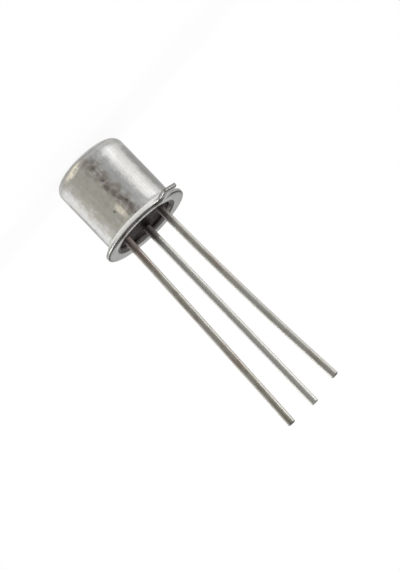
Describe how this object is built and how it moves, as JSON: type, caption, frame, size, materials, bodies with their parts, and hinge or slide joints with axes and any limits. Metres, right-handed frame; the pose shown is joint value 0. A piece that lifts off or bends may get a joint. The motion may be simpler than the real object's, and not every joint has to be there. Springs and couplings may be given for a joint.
{
  "type": "unijunction transistor",
  "caption": "Unijunction transistor in a small round metal can with a tabbed flange, a glass-sealed header and three long round leads, standing on its flat top.",
  "frame": {"origin": "middle of the cap's flat top, on the ground that the transistor stands on with its leads up", "axes": "+Z along the can's axis, toward the tips of the leads; the emitter lead is on the -X side, base two on the +X side and base one on the +Y side, and no lead is on the -Y side"},
  "size_m": [0.0056, 0.0056, 0.0188],
  "materials": {
    "nickel_plate": "satin nickel plate with brown stains and small dark spots",
    "header_plate": "dull satin plate, grey with a little tarnish",
    "seal_glass": "dark opaque sealing glass, smooth",
    "tinned_wire": "tinned or plated wire, drawn lines along it, tarnished grey-brown in places",
    "gold_solder": "gold alloy solder, satin",
    "silicon": "polished grey silicon, opaque",
    "aluminium_wire": "fine bright wire"
  },
  "bodies": {
    "root": {"cap": "nickel_plate", "header": "header_plate", "glass_seal": "seal_glass", "emitter_lead": "tinned_wire", "base_one_lead": "tinned_wire", "base_two_lead": "tinned_wire", "die_solder": "gold_solder", "silicon_die": "silicon", "emitter_bond_wire": "aluminium_wire", "base_one_bond_wire": "aluminium_wire"}
  },
  "joints": []
}
